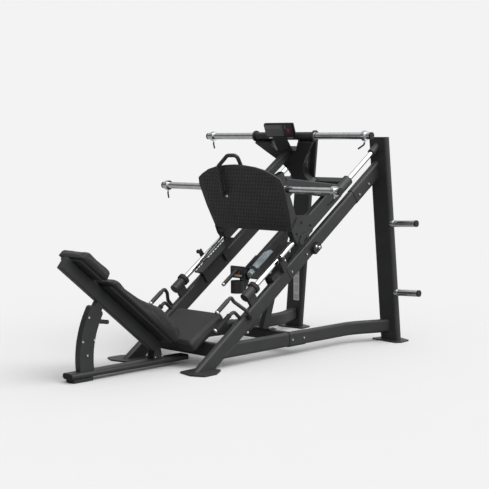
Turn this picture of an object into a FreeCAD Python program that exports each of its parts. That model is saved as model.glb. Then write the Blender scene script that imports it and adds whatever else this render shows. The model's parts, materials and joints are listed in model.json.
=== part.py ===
import FreeCAD, Part
import math
import os

# Plate-loaded 35 degree leg press. Millimetres, +Z up, X across, +Y towards the uprights.
# Lengths along the machine are set out from the front edge of the rear feet and moved at the
# end, so that the saved parts stand around the middle of the footprint.

V = FreeCAD.Vector
ACROSS = V(1, 0, 0)
UP = V(0, 0, 1)
LONG = V(0, 1, 0)

# ---- driving dimensions ---------------------------------------------------------------------
ORIGIN_SHIFT = 1269.0      # moves the footprint's middle to Y = 0

RAIL_ANGLE = 35.0          # slope of the guide rods and rails
ROD_X = 350.0              # rod and rail centre, each side
ROD_START = V(0, -1316, 517)
ROD_R = 19.0
ROD_FRONT, ROD_REAR = -105.0, 1640.0
RUNNING = 0.05             # radial clearance of every running fit

RAIL_W, RAIL_H, RAIL_V = 50.0, 111.0, -139.5
RAIL_TOP = RAIL_V + RAIL_H / 2
TUBE_WALL = 3.0
UPRIGHT_FACE_Y = 38.0
UPRIGHT_D, UPRIGHT_W = 55.0, 170.0
UPRIGHT_TOP = 1548.0
UPRIGHT_X_AT_FLOOR, UPRIGHT_LEAN = 493.0, 0.0865

FOOT_T = 10.0
BEAM_Z, BEAM_H = 115.0, 100.0
HORN_R = 25.0
HORN_BORE = 21.0
GRIP_R = 12.5

HINGE = V(0, -1916, 130)   # backrest pivot
ARC_R = 600.0              # curved support, centred on the pivot
BACK_ANGLE = 39.0
SEAT_ANGLE = 30.0

PLATE_LEAN = 22.9          # foot plate, from the vertical
PLATE_T = 10.0

COS_A, SIN_A = math.cos(math.radians(RAIL_ANGLE)), math.sin(math.radians(RAIL_ANGLE))
U = V(0, COS_A, SIN_A)     # along the rods, upwards
W = V(0, -SIN_A, COS_A)    # square to the rods, upwards


# ---- helpers --------------------------------------------------------------------------------
def at(x, u, v):
    """Point given along (u) and square to (v) the guide rods."""
    return ROD_START + U * u + W * v + ACROSS * x


def box(x0, x1, y0, y1, z0, z1):
    return Part.makeBox(x1 - x0, y1 - y0, z1 - z0, V(x0, y0, z0))


def rod(start, end, radius):
    axis = end - start
    return Part.makeCylinder(radius, axis.Length, start, axis)


def pipe(start, end, radius, bore):
    reach = (end - start).normalize() * 2
    return rod(start, end, radius).cut(rod(start - reach, end + reach, bore))


def placed(shape, origin, x_dir, y_dir):
    z_dir = x_dir.cross(y_dir)
    shape.Placement = FreeCAD.Placement(origin, FreeCAD.Rotation(x_dir, y_dir, z_dir, "ZXY"))
    return shape


def bar(start, end, width, height, corner=0.0, wall=0.0, across=ACROSS):
    """Straight tube or bar; width lies along `across`, height square to it."""
    axis = V(end - start)
    length = axis.Length
    axis.normalize()
    x_dir = V(across - axis * across.dot(axis))
    x_dir.normalize()
    y_dir = axis.cross(x_dir)
    body = Part.makeBox(width, height, length, V(-width / 2, -height / 2, 0))
    if corner:
        body = body.makeFillet(corner, long_edges(body, UP))
    if wall:
        inner = Part.makeBox(width - 2 * wall, height - 2 * wall, length + 20,
                             V(wall - width / 2, wall - height / 2, -10))
        if corner > wall:
            inner = inner.makeFillet(corner - wall, long_edges(inner, UP))
        body = body.cut(inner)
    return placed(body, start, x_dir, y_dir)


def long_edges(shape, direction):
    """Straight edges that run along a direction."""
    found = []
    for edge in shape.Edges:
        if edge.Curve.TypeId == "Part::GeomLine":
            if abs(abs(edge.tangentAt(edge.FirstParameter).dot(direction)) - 1) < 1e-6:
                found.append(edge)
    return found


def slab(points, origin, x_dir, y_dir, depth, corner=0.0):
    """Flat plate from an outline in a plane, thickened along x_dir cross y_dir."""
    corners = [V(a, b, 0) for a, b in points]
    face = Part.Face(Part.makePolygon(corners + corners[:1]))
    body = face.extrude(V(0, 0, depth))
    if corner:
        body = body.makeFillet(corner, long_edges(body, UP))
    return placed(body, origin, x_dir, y_dir)


def bent_rod(points, radius, bend):
    """Round bar along a path whose corners are rounded."""
    edges = []
    last = points[0]
    for before, corner, after in zip(points, points[1:], points[2:]):
        back = (before - corner).normalize()
        ahead = (after - corner).normalize()
        half = math.acos(max(-1, min(1, back.dot(ahead)))) / 2
        inset = min(bend / math.tan(half), 0.45 * (before - corner).Length,
                    0.45 * (after - corner).Length)
        reach = inset * math.tan(half)
        enter, leave = corner + back * inset, corner + ahead * inset
        centre = corner + (back + ahead).normalize() * (reach / math.sin(half))
        middle = centre + (corner - centre).normalize() * reach
        edges.append(Part.makeLine(last, enter))
        edges.append(Part.Arc(enter, middle, leave).toShape())
        last = leave
    edges.append(Part.makeLine(last, points[-1]))
    path = Part.Wire(edges)
    start = points[0]
    section = Part.Wire(Part.makeCircle(radius, start, (points[1] - start).normalize()))
    return path.makePipeShell([section], True, False)


def ring_sector(radius, width, height, first, last, corner=0.0):
    """Bar curved about the backrest pivot; angles from +Y, width across the machine."""
    a = math.radians(first)
    outward = V(0, math.cos(a), math.sin(a))
    centre = HINGE + outward * radius
    w, h = width / 2, height / 2
    ends = [centre + ACROSS * x + outward * r for x, r in ((-w, -h), (w, -h), (w, h), (-w, h))]
    face = Part.Face(Part.makePolygon(ends + ends[:1]))
    body = face.revolve(HINGE, ACROSS, last - first)
    if corner:
        edges = [e for e in body.Edges if e.Curve.TypeId == "Part::GeomCircle"]
        body = body.makeFillet(corner, edges)
    return body


def mirrored(shape):
    return shape.mirror(V(0, 0, 0), ACROSS)


def both(shape):
    return [shape, mirrored(shape)]


def biggest(shape):
    return max(shape.Solids, key=lambda solid: solid.Volume)


def above(shape, z):
    return shape.common(box(-2000, 2000, -4000, 1000, z, 4000))


def ahead_of_uprights(shape):
    return shape.common(box(-2000, 2000, -4000, UPRIGHT_FACE_Y, -500, 4000))


def screw(point, outward, head=7.5, height=6.0):
    """Socket head screw seen from outside, with its recess."""
    body = rod(point, point + outward * height, head)
    return body.cut(rod(point + outward * (height - 3), point + outward * (height + 1), head * 0.5))


parts = {}


def save(name, *shapes):
    solids = []
    for shape in shapes:
        for item in (shape if isinstance(shape, list) else [shape]):
            solids.extend(item.Solids)
    parts[name] = solids[0] if len(solids) == 1 else Part.makeCompound(solids)


# ---- main frame -----------------------------------------------------------------------------
rail_outer = bar(at(ROD_X, -900, RAIL_V), at(ROD_X, 1800, RAIL_V), RAIL_W, RAIL_H, 18)
rail = bar(at(ROD_X, -900, RAIL_V), at(ROD_X, 1800, RAIL_V), RAIL_W, RAIL_H, 18, TUBE_WALL)
rail = ahead_of_uprights(above(rail, FOOT_T))
save("right_rail", rail)
save("left_rail", mirrored(rail))


def upright_centre(z):
    return V(UPRIGHT_X_AT_FLOOR - UPRIGHT_LEAN * (z - FOOT_T),
             UPRIGHT_FACE_Y + UPRIGHT_D / 2, z)


upright_outer = bar(upright_centre(-100), upright_centre(1700), UPRIGHT_W, UPRIGHT_D, 24)
upright = bar(upright_centre(-100), upright_centre(1700), UPRIGHT_W, UPRIGHT_D, 24, TUBE_WALL)
CAP_T = 8.0
upright = upright.common(box(0, 900, -100, 300, FOOT_T, UPRIGHT_TOP - CAP_T))
save("right_upright", upright)
save("left_upright", mirrored(upright))
upright_cap = upright_outer.common(box(0, 900, -100, 300, UPRIGHT_TOP - CAP_T, UPRIGHT_TOP))

# base beam: straight beside the rail, then curving out to the upright
BEAM_BEND_Y, BEAM_END_X, BEAM_BEND_R = -250.0, 470.0, 500.0


def base_beam_path():
    start = V(ROD_X, -1750, BEAM_Z)
    corner = V(ROD_X, BEAM_BEND_Y, BEAM_Z)
    end = V(BEAM_END_X, UPRIGHT_FACE_Y, BEAM_Z)
    end = end + (end - corner).normalize() * 60
    back, ahead = (start - corner).normalize(), (end - corner).normalize()
    half = math.acos(back.dot(ahead)) / 2
    inset = BEAM_BEND_R / math.tan(half)
    centre = corner + (back + ahead).normalize() * (BEAM_BEND_R / math.sin(half))
    middle = centre + (corner - centre).normalize() * BEAM_BEND_R
    enter, leave = corner + back * inset, corner + ahead * inset
    return Part.Wire([Part.makeLine(start, enter), Part.Arc(enter, middle, leave).toShape(),
                      Part.makeLine(leave, end)])


def base_beam_solid(inset):
    w, h, r = RAIL_W / 2 - inset, BEAM_H / 2 - inset, 18 - inset
    block = Part.makeBox(2 * w, 10, 2 * h, V(ROD_X - w, -1750, BEAM_Z - h))
    block = block.makeFillet(r, long_edges(block, LONG))
    section = min((f for f in block.Faces), key=lambda f: f.CenterOfMass.y).OuterWire
    return base_beam_path().makePipeShell([section], True, False)


base_outer = base_beam_solid(0)
base_beam = base_outer.cut(base_beam_solid(TUBE_WALL))
base_beam = biggest(ahead_of_uprights(base_beam.cut(rail_outer)))
save("right_base_beam", base_beam)
save("left_base_beam", mirrored(base_beam))

CROSS_HALF = ROD_X - RAIL_W / 2
front_cross = bar(V(-CROSS_HALF, -1622, 112.5), V(CROSS_HALF, -1622, 112.5), 50, 95, 8, TUBE_WALL, LONG)
mid_cross = bar(V(-CROSS_HALF, -824.5, 101.5), V(CROSS_HALF, -824.5, 101.5), 55, 73, 8, TUBE_WALL, LONG)
save("cross_tubes", front_cross, mid_cross)

# cover plates over the bolted joints and the sleeve below each upright
rail_cover = slab([(312, -182), (575, -182), (575, -96), (312, -96)], at(375, 0, 0), U, W, 3, 12)
beam_cover = bar(V(ROD_X, -970, BEAM_Z), V(ROD_X, -797, BEAM_Z), 58, 108, 20, 0)
beam_cover = beam_cover.cut(base_outer).common(box(ROD_X, 500, -1000, -700, 0, 300))
SLEEVE_T = 3.0
sleeve = bar(at(ROD_X, 1215, RAIL_V), at(ROD_X, 1800, RAIL_V),
             RAIL_W + 2 * SLEEVE_T, RAIL_H + 2 * SLEEVE_T, 20)
sleeve = ahead_of_uprights(sleeve.cut(rail_outer))
save("rail_sleeves", both(rail_cover), both(beam_cover), both(sleeve))

rear_foot = slab([(350, 5), (596, -16), (624, 22), (614, 132), (502, 172), (372, 128)],
                 V(0, 0, 0), ACROSS, LONG, FOOT_T, 18)
front_foot = slab([(262, -1935), (396, -1966), (488, -1922), (483, -1808),
                   (414, -1699), (305, -1696), (254, -1775)],
                  V(0, 0, 0), ACROSS, LONG, FOOT_T, 20)
front_foot = front_foot.cut(rod(V(290, -1880, -5), V(290, -1880, 20), 7))
save("foot_plates", both(rear_foot), both(front_foot))

# ---- guide rods -----------------------------------------------------------------------------
save("guide_rods", both(ahead_of_uprights(rod(at(ROD_X, ROD_FRONT, 0), at(ROD_X, ROD_REAR + 60, 0), ROD_R))))

socket_front = pipe(at(ROD_X, ROD_FRONT, 0), at(ROD_X, -14, 0), 33, ROD_R)
socket_cap = rod(at(ROD_X, ROD_FRONT - 8, 0), at(ROD_X, ROD_FRONT, 0), 33)
socket_leg = slab([(-98, RAIL_TOP), (-22, RAIL_TOP), (-22, -10), (-98, -10)], at(ROD_X - 12, 0, 0), U, W, 24)
socket_leg = socket_leg.cut(rod(at(ROD_X, -200, 0), at(ROD_X, 100, 0), 33))
socket_rear = pipe(at(ROD_X, 1585, 0), at(ROD_X, 1760, 0), 30, ROD_R)
socket_rear = biggest(ahead_of_uprights(socket_rear))
save("rod_sockets", both(socket_front), both(socket_cap), both(socket_leg), both(socket_rear))
save("rod_bumpers", both(pipe(at(ROD_X, -14, 0), at(ROD_X, 14, 0), 43, ROD_R)))

# stop rack: flat toothed plate on the inner side of each rod, on two angles
rack_points = [(100, 0), (505, 0), (505, 83)]
for step in range(13):
    rack_points += [(495 - 30 * step, 83), (490 - 30 * step, 75), (476 - 30 * step, 75), (471 - 30 * step, 83)]
rack_points += [(100, 83)]
rack = slab([(u, x) for u, x in rack_points], at(238, 0, -16), U, ACROSS, -12)
rack_feet = []
for start in (150, 400):
    leg = slab([(start, -150), (start + 60, -150), (start + 60, -16), (start, -16)], at(309, 0, 0), U, W, 8)
    pad = slab([(start, -150), (start + 60, -150), (start + 60, -104), (start, -104)], at(317, 0, 0), U, W, 8)
    rack_feet += both(leg.fuse(pad).removeSplitter())
save("stop_racks", both(rack), rack_feet)

# ---- centre post, beam and console ------------------------------------------------------------
beam_outer = bar(at(0, 250, -140), at(0, 800, -140), 50, 70, 10)
centre_beam = bar(at(0, 250, -140), at(0, 800, -140), 50, 70, 10, TUBE_WALL)
save("centre_beam", centre_beam)
post = bar(V(0, -850, 100), V(0, -595, 872), 50, 60, 8, TUBE_WALL)
post = biggest(above(post, 146).cut(beam_outer))
save("centre_post", post, box(-86, 86, -855, -791, 138, 146))
beam_cap_low = bar(at(0, 246, -140), at(0, 250, -140), 50, 70, 10)
beam_cap_high = bar(at(0, 800, -140), at(0, 804, -140), 50, 70, 10)
beam_sleeve = bar(at(0, 290, -140), at(0, 437, -140), 62, 82, 14).cut(beam_outer)
save("beam_fittings", beam_cap_low, beam_cap_high, beam_sleeve)

placard = box(-68.5, 68.5, -1116, -1104, 538, 624)
placard = placard.makeFillet(8, long_edges(placard, LONG))
CUP = V(0, -1115, 430)
cup = pipe(CUP, CUP + UP * 90, 47.5, 43.5).fuse(rod(CUP, CUP + UP * 5, 45)).removeSplitter()
bracket = slab([(-1104, 545), (-1104, 606), (-1046, 592), (-996, 505), (-1040, 440), (-1085, 440), (-1085, 545)],
               V(-6, 0, 0), LONG, UP, 12)
bracket = bracket.cut(beam_outer).cut(beam_cap_low).cut(rod(CUP, CUP + UP * 90, 47.5))
bracket = biggest(bracket)
console_bar = rod(V(-10, -1241, 506), V(-10, -1080, 618.7), 14)
console_bar = console_bar.common(box(-100, 100, -1400, -1116, 400, 700))
BOTTLE_X = 80.0
BOTTLE_FOOT = at(BOTTLE_X, 232, -110)
holder = pipe(at(BOTTLE_X, 264, -110), at(BOTTLE_X, 286, -110), 45, 40)
holder_arm = slab([(264, -122), (286, -122), (286, -98), (264, -98)], at(25, 0, 0), U, W, 40)
holder_arm = holder_arm.cut(rod(at(BOTTLE_X, 200, -110), at(BOTTLE_X, 400, -110), 40))
holder = holder.fuse(holder_arm).removeSplitter()
save("placards", placard, box(-475, -412, UPRIGHT_FACE_Y - 1.5, UPRIGHT_FACE_Y, 223, 470))
save("console_brackets", bracket, cup, console_bar, holder)
bottle = Part.makeCone(28, 39, 90, BOTTLE_FOOT, U)
bottle = bottle.fuse(Part.makeCylinder(39, 130, BOTTLE_FOOT + U * 90, U))
bottle = bottle.fuse(Part.makeCone(39, 20, 48, BOTTLE_FOOT + U * 220, U)).removeSplitter()
save("clear_bottle", bottle)

# ---- floor tube, curved support and backrest pivot -------------------------------------------
TUBE_TIP = V(0, -2652, 43)
TUBE_END = V(0, -1647, 43)
floor_tube = bar(TUBE_TIP, TUBE_END, 100, 38, 17, TUBE_WALL)
save("floor_tube", floor_tube)
floor_tube_cap = bar(TUBE_TIP + LONG * 5, TUBE_TIP + LONG * 20, 94, 32, 14)
foot_pad = box(-43, 43, -2634, -2477, 0, 24)
save("floor_foot", foot_pad.makeFillet(8, long_edges(foot_pad, UP)))

ARC_TOP, ARC_FOOT = 147.2, 192.0
arc_outer = ring_sector(ARC_R, 50, 110, ARC_TOP, ARC_FOOT)
shoulders = [e for e in long_edges(arc_outer, ACROSS) if e.CenterOfMass.z > 200]
arc_outer = arc_outer.makeFillet(22, shoulders)
arc_inner = ring_sector(ARC_R, 44, 104, ARC_TOP + 4, ARC_FOOT + 2)
arc_mouth = ring_sector(ARC_R - 6, 44, 60.4, ARC_TOP - 3, ARC_TOP + 5)
arc = above(arc_outer.cut(arc_inner).cut(arc_mouth), 62)
KNOB_END = V(0, -2319, 353)
KNOB_AXIS = V(0, 0.985, -0.1725).normalize()
PIN_R = 6.0
pin_boss = rod(KNOB_END - KNOB_AXIS * 110, KNOB_END - KNOB_AXIS * 58, 15).cut(arc_outer)
pin_boss = min(pin_boss.Solids, key=lambda s: -s.CenterOfMass.y)
pin_bore = rod(KNOB_END - KNOB_AXIS * 130, KNOB_END, PIN_R + RUNNING)
save("curved_upright", biggest(arc.cut(pin_bore)), pin_boss.cut(pin_bore))
pin = rod(KNOB_END - KNOB_AXIS * 106, KNOB_END - KNOB_AXIS * 30, PIN_R)
knob = rod(KNOB_END - KNOB_AXIS * 57, KNOB_END, 14)
knob = knob.makeFillet(4, [e for e in knob.Edges if e.Curve.TypeId == "Part::GeomCircle"])
save("back_pop_pin", pin.fuse(knob).removeSplitter())

PIVOT_R = 10.0
ear = slab([(-1955, 62), (-1877, 62), (-1894, 142), (-1938, 142)], V(27, 0, 0), LONG, UP, 8, 0)
ear = ear.cut(rod(HINGE - ACROSS * 60, HINGE + ACROSS * 60, PIVOT_R))
pivot = rod(HINGE - ACROSS * 42, HINGE + ACROSS * 42, PIVOT_R)
save("hinge_bracket", both(ear), pivot)

# ---- backrest ---------------------------------------------------------------------------------
COS_B, SIN_B = math.cos(math.radians(BACK_ANGLE)), math.sin(math.radians(BACK_ANGLE))
S = V(0, -COS_B, SIN_B)    # up along the backrest
N = V(0, SIN_B, COS_B)     # out of the backrest
BACK_START = V(0, -2071, 216)
BACK_W, BACK_H = 50.0, 90.0


def back(x, s, n):
    return BACK_START + S * s + N * n + ACROSS * x


barrel = rod(HINGE - ACROSS * 26, HINGE + ACROSS * 26, 22)
back_outer = bar(back(0, -178, BACK_H / 2), back(0, 812, BACK_H / 2), BACK_W, BACK_H, 10)
back_frame = bar(back(0, -178, BACK_H / 2), back(0, 812, BACK_H / 2), BACK_W, BACK_H, 10, TUBE_WALL)
back_frame = biggest(back_frame.cut(barrel))
barrel = barrel.cut(rod(HINGE - ACROSS * 30, HINGE + ACROSS * 30, PIVOT_R + RUNNING))
save("back_frame", back_frame, barrel)
strut = ring_sector(ARC_R - 6, 43.9, 60, 138, 167)
strut = strut.cut(bar(back(0, -178, 45), back(0, 900, 45), 80, 90))
save("back_strut", max(strut.Solids, key=lambda s: -s.CenterOfMass.z))
PAD_N = 105.0
back_board = bar(back(0, -180, 97.5), back(0, 490, 97.5), 240, 15)
head_board = bar(back(0, 562, 97.5), back(0, 778, 97.5), 200, 15)
back_cap = bar(back(0, 812, BACK_H / 2), back(0, 820, BACK_H / 2), BACK_W, BACK_H, 10)
save("back_boards", back_board, head_board, back_cap)

back_outline = [(-205, PAD_N), (-200, 187), (-134, 210), (-43, 222), (47, 220), (163, 183),
                (238, 165), (378, 149), (465, 152), (508, 142), (515, PAD_N)]
back_pad = slab(back_outline, back(152, 0, 0), S, N, 304)
head_outline = [(536, PAD_N), (540, 163), (557, 173), (765, 170), (792, 158), (800, PAD_N)]
head_pad = slab(head_outline, back(128, 0, 0), S, N, 256)
side_edges = [e for e in back_pad.Edges if abs(abs(e.CenterOfMass.x) - 152) < 1]
back_pad = back_pad.makeFillet(14, side_edges)
side_edges = [e for e in head_pad.Edges if abs(abs(e.CenterOfMass.x) - 128) < 1]
head_pad = head_pad.makeFillet(14, side_edges)
save("back_pad", back_pad)
save("head_pad", head_pad)

# ---- seat ---------------------------------------------------------------------------------------
COS_S, SIN_S = math.cos(math.radians(SEAT_ANGLE)), math.sin(math.radians(SEAT_ANGLE))
F = V(0, COS_S, SIN_S)     # forward along the seat
SEAT_UP = V(0, -SIN_S, COS_S)
SEAT_REAR = V(0, -1803, 165)
SEAT_HALF, SEAT_L, SEAT_T = 230.0, 375.0, 67.0


def seat(x, f, n):
    return SEAT_REAR + F * f + SEAT_UP * n + ACROSS * x


seat_outline = [(-SEAT_HALF, 0), (SEAT_HALF, 0), (SEAT_HALF, SEAT_L), (-SEAT_HALF, SEAT_L)]
seat_pad = slab(seat_outline, seat(0, 0, -SEAT_T), ACROSS, F, SEAT_T)
corners = long_edges(seat_pad, SEAT_UP)
seat_pad = seat_pad.makeFillet(55, [e for e in corners if (e.CenterOfMass - SEAT_REAR).dot(F) > 200])
corners = [e for e in long_edges(seat_pad, SEAT_UP) if (e.CenterOfMass - SEAT_REAR).dot(F) < 20]
seat_pad = seat_pad.makeFillet(25, corners)
rims = [e for e in seat_pad.Edges if abs((e.CenterOfMass - SEAT_REAR).dot(SEAT_UP)) < 0.5]
save("seat_pad", seat_pad.makeFillet(16, rims))
seat_board = slab([(-190, 25), (190, 25), (190, 350), (-190, 350)],
                  seat(0, 0, -SEAT_T - 12), ACROSS, F, 12, 30)
gusset = slab([(-1690, 138), (-1482, 262), (-1512, 200), (-1597, 85), (-1647, 85), (-1672, 110)],
              V(86, 0, 0), LONG, UP, 8)
gusset = gusset.cut(bar(V(-CROSS_HALF, -1622, 112.5), V(CROSS_HALF, -1622, 112.5), 50, 95, 8, 0, LONG))
gusset = biggest(gusset.cut(bar(seat(0, 0, -SEAT_T + 20), seat(0, 400, -SEAT_T + 20), 500, 64)))
save("seat_bracket", seat_board, both(gusset))

# ---- fixed hand grips and safety levers ------------------------------------------------------
handle = bent_rod([at(342, -216, -98), at(344, -240, -10), at(338, -290, -9), at(334, -444, -8)], GRIP_R, 30)
handle = biggest(handle.cut(rail_outer))
save("fixed_handles", both(handle))

LEVER_U, LEVER_V, LEVER_PIN_R = -169.0, -117.0, 9.0
lever_pin = rod(at(375, LEVER_U, LEVER_V), at(404, LEVER_U, LEVER_V), LEVER_PIN_R)
lever_head = rod(at(404, LEVER_U, LEVER_V), at(409, LEVER_U, LEVER_V), 15)
catch = slab([(600, -190), (680, -190), (686, -150), (668, -127), (612, -130), (600, -150)],
             at(375, 0, 0), U, W, 26, 6)
save("pivot_pins", both(lever_pin.fuse(lever_head).removeSplitter()))
save("catch_blocks", both(catch))
lever_boss = rod(at(377, LEVER_U, LEVER_V), at(402, LEVER_U, LEVER_V), 21)
lever_tube = bent_rod([at(389.5, LEVER_U - 2, LEVER_V + 12), at(389.5, -178, -50), at(331, -192, 36),
                       at(331, -194, 78), at(331, -352, 78)], GRIP_R, 24)
lever = lever_boss.fuse(lever_tube)
lever = lever.cut(rod(at(370, LEVER_U, LEVER_V), at(420, LEVER_U, LEVER_V), LEVER_PIN_R + RUNNING))
grip = pipe(at(331, -350, 78), at(331, -232, 78), 15.5, GRIP_R)
save("right_lever", lever.removeSplitter(), grip)
save("left_lever", mirrored(lever.removeSplitter()), mirrored(grip))

# ---- range stops: a block on each rail with a side bracket and knob -----------------------
STOP_V = RAIL_TOP + RUNNING
stop_block = slab([(161, STOP_V), (350, STOP_V), (350, -45), (161, -45)], at(327, 0, 0), U, W, 46, 5)
stop_arm = slab([(262, STOP_V), (308, STOP_V), (308, -56), (262, -56)], at(372, 0, 0), U, W, 28)
stop_side = slab([(262, STOP_V), (308, STOP_V), (302, 42), (268, 42)], at(392, 0, 0), U, W, 8)
stop_knob = rod(at(400, 286, 24), at(428, 286, 24), 15)
range_stop = stop_block.fuse(stop_arm).fuse(stop_side).fuse(stop_knob).removeSplitter()
save("right_range_stop", range_stop)
save("left_range_stop", mirrored(range_stop))

# ---- storage horns and end caps ---------------------------------------------------------------
HORN_RISE = 0.05
HORN_BOSS_R = 27.0
storage_horns, end_caps = [], [*both(upright_cap), floor_tube_cap]
for tip_x, tip_z, boss_x in ((708, 904, 512), (739, 382, 556)):
    tip = V(tip_x, UPRIGHT_FACE_Y + UPRIGHT_D / 2, tip_z)
    root = tip - V(1, 0, HORN_RISE) * 270
    seat_end = tip - V(1, 0, HORN_RISE) * (tip_x - boss_x)
    direction = (tip - root).normalize()
    boss = pipe(root, seat_end, HORN_BOSS_R, HORN_BORE).cut(upright_outer)
    boss = max(boss.Solids, key=lambda s: s.CenterOfMass.x)
    storage_horns += both(pipe(seat_end, tip, HORN_R, HORN_BORE).fuse(boss).removeSplitter())
    end_caps += both(rod(tip, tip + direction * 13, HORN_R))
save("storage_horns", storage_horns)
save("end_caps", end_caps)

# ---- sled -----------------------------------------------------------------------------------------
SLED_FRONT, SLED_REAR = 505.0, 1243.0
LINER_R = 24.0
BEAM_TOP_V, BEAM_LOW_V = 75.0, -40.0
SB_V, SB_H, SB_W = (BEAM_TOP_V + BEAM_LOW_V) / 2, BEAM_TOP_V - BEAM_LOW_V, 54.0
side_outer = bar(at(ROD_X, SLED_FRONT, SB_V), at(ROD_X, 1093, SB_V), SB_W, SB_H, 10)
side_beam = bar(at(ROD_X, SLED_FRONT, SB_V), at(ROD_X, 1093, SB_V), SB_W, SB_H, 10, TUBE_WALL)
low_block = bar(at(ROD_X, SLED_FRONT, SB_V), at(ROD_X, 593, SB_V), SB_W - 2 * TUBE_WALL,
                SB_H - 2 * TUBE_WALL, 7)
low_block = low_block.cut(rod(at(ROD_X, 400, 0), at(ROD_X, 700, 0), LINER_R))
high_bearing = pipe(at(ROD_X, 1093, 0), at(ROD_X, SLED_REAR, 0), 40, LINER_R)
high_bearing = high_bearing.cut(bar(at(ROD_X, 1000, -90), at(ROD_X, 1300, -90), 200, 100))
save("sled_beams", both(side_beam))
save("bearing_housings", both(low_block), both(high_bearing))
low_liner = pipe(at(ROD_X, SLED_FRONT, 0), at(ROD_X, 593, 0), LINER_R, ROD_R + RUNNING)
high_liner = pipe(at(ROD_X, 1093, 0), at(ROD_X, SLED_REAR, 0), LINER_R, ROD_R + RUNNING)
save("bearing_liners", both(low_liner), both(high_liner))

PL = math.radians(PLATE_LEAN)
T_UP = V(0, -math.sin(PL), math.cos(PL))       # up the foot plate
T_OUT = V(0, -math.cos(PL), -math.sin(PL))     # towards the user
PLATE_FOOT = V(0, -952, 880)


def plate(x, t, out):
    return PLATE_FOOT + T_UP * t + T_OUT * out + ACROSS * x


right_edge = [(380, 0), (406, 180), (416, 350), (402, 405), (350, 437), (280, 470), (195, 492), (95, 505)]
outline = right_edge + [(0, 510)] + [(-x, t) for x, t in reversed(right_edge)]
foot_plate = slab(outline, plate(0, 0, -PLATE_T), ACROSS, T_UP, PLATE_T)
save("foot_plate", foot_plate)

POST_D, POST_W = 80.0, 50.0
post_back = PLATE_T + POST_D / 2
sled_post = bar(plate(ROD_X, -60, -post_back), plate(ROD_X, 425, -post_back), POST_W, POST_D, 10, TUBE_WALL)
sled_post_outer = bar(plate(ROD_X, -60, -post_back), plate(ROD_X, 425, -post_back), POST_W, POST_D, 10)
sled_post = max(sled_post.cut(side_outer).Solids, key=lambda s: s.CenterOfMass.z)
web = slab([(507, -40), (494, 40), (505, 100), (600, 140), (634, 138), (722, 76), (722, 0), (683, -40)],
           at(ROD_X + SB_W / 2, 0, 0), U, W, 6, 0)
inner_web = slab([(520, 76), (525, 120), (600, 150), (634, 138), (715, 76)],
                 at(ROD_X - SB_W / 2, 0, 0), U, W, SB_W)
save("sled_posts", both(sled_post))

arm_outer = bar(V(ROD_X, -1010, 1212), V(ROD_X, -430, 1150), POST_W, 100, 10)
arm = bar(V(ROD_X, -1010, 1212), V(ROD_X, -430, 1150), POST_W, 100, 10, TUBE_WALL)
arm = arm.cut(sled_post_outer).cut(side_outer)
arm = arm.cut(rod(at(ROD_X, 900, 0), at(ROD_X, 1400, 0), 40))
arm = biggest(arm)
save("sled_arms", both(arm))

CROSS_U, CROSS_V, CROSS_S = 1190.0, 14.0, 56.0
inner_face = ROD_X - 30
rear_outer = bar(at(-inner_face, CROSS_U, CROSS_V), at(inner_face, CROSS_U, CROSS_V), CROSS_S, CROSS_S, 6, 0, U)
rear_cross = bar(at(-ROD_X, CROSS_U, CROSS_V), at(ROD_X, CROSS_U, CROSS_V), CROSS_S, CROSS_S, 6, TUBE_WALL, U)
for side in (1, -1):
    rear_cross = rear_cross.cut(rod(at(side * ROD_X, 1000, 0), at(side * ROD_X, 1400, 0), 40))
rear_cross = biggest(rear_cross)
front_x = ROD_X - POST_W / 2
front_cross_s = bar(plate(-front_x, 60, -post_back), plate(front_x, 60, -post_back), 40, 60, 6, TUBE_WALL, T_UP)
save("sled_cross_tubes", rear_cross, front_cross_s)
front_cross_outer = bar(plate(-front_x, 60, -post_back), plate(front_x, 60, -post_back), 40, 60, 6, 0, T_UP)
inner_web = biggest(inner_web.cut(side_outer).cut(sled_post_outer).cut(front_cross_outer).cut(foot_plate))
save("sled_webs", both(biggest(web.cut(foot_plate))), both(inner_web))

# yoke: hourglass box plate standing square to the rods, with braces behind it
YOKE_U0, YOKE_U1 = 1128.0, 1186.0
yoke_right = [(108, 42), (84, 64), (66, 118), (72, 164), (98, 215), (147, 275), (213, 340), (284, 415)]
yoke_window = [(142, 415), (96, 346)]
yoke_outline = yoke_right + yoke_window + [(-x, v) for x, v in reversed(yoke_window)]
yoke_outline += [(-x, v) for x, v in reversed(yoke_right)]
yoke = slab(yoke_outline, at(0, YOKE_U1, 0), ACROSS, W, YOKE_U1 - YOKE_U0)
TOP_BAR_U, TOP_BAR_V = 1177.8, 442.5
top_bar_outer = rod(at(-285, TOP_BAR_U, TOP_BAR_V), at(285, TOP_BAR_U, TOP_BAR_V), 29)
yoke = biggest(yoke.cut(rod(at(-400, TOP_BAR_U, TOP_BAR_V), at(400, TOP_BAR_U, TOP_BAR_V), 29)).cut(rear_outer))
cavity = Part.Face(Part.makePolygon([V(a, b, 0) for a, b in yoke_outline + yoke_outline[:1]]))
cavity = cavity.makeOffset2D(-5).extrude(V(0, 0, YOKE_U1 - YOKE_U0 - 10))
cavity = placed(cavity, at(0, YOKE_U1 - 5, 0), ACROSS, W)
drain = bar(at(0, YOKE_U0 + 29, 20), at(0, YOKE_U0 + 29, 70), 90, 40)
yoke_shell = yoke.cut(cavity).cut(drain)
brace = bar(at(262, 1201, 418), at(40, 1201, 20), 44, 30, 4)
brace = brace.cut(rear_outer).cut(rod(at(-400, TOP_BAR_U, TOP_BAR_V), at(400, TOP_BAR_U, TOP_BAR_V), 29))
brace = biggest(brace)
bracket_plate = slab([(-70, 348), (70, 348), (66, 470), (-66, 470)], at(0, 1124, 0), ACROSS, W, 8)
bracket_plate = bracket_plate.cut(yoke)
save("sled_yoke", biggest(yoke_shell), both(brace), biggest(bracket_plate))
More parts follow.
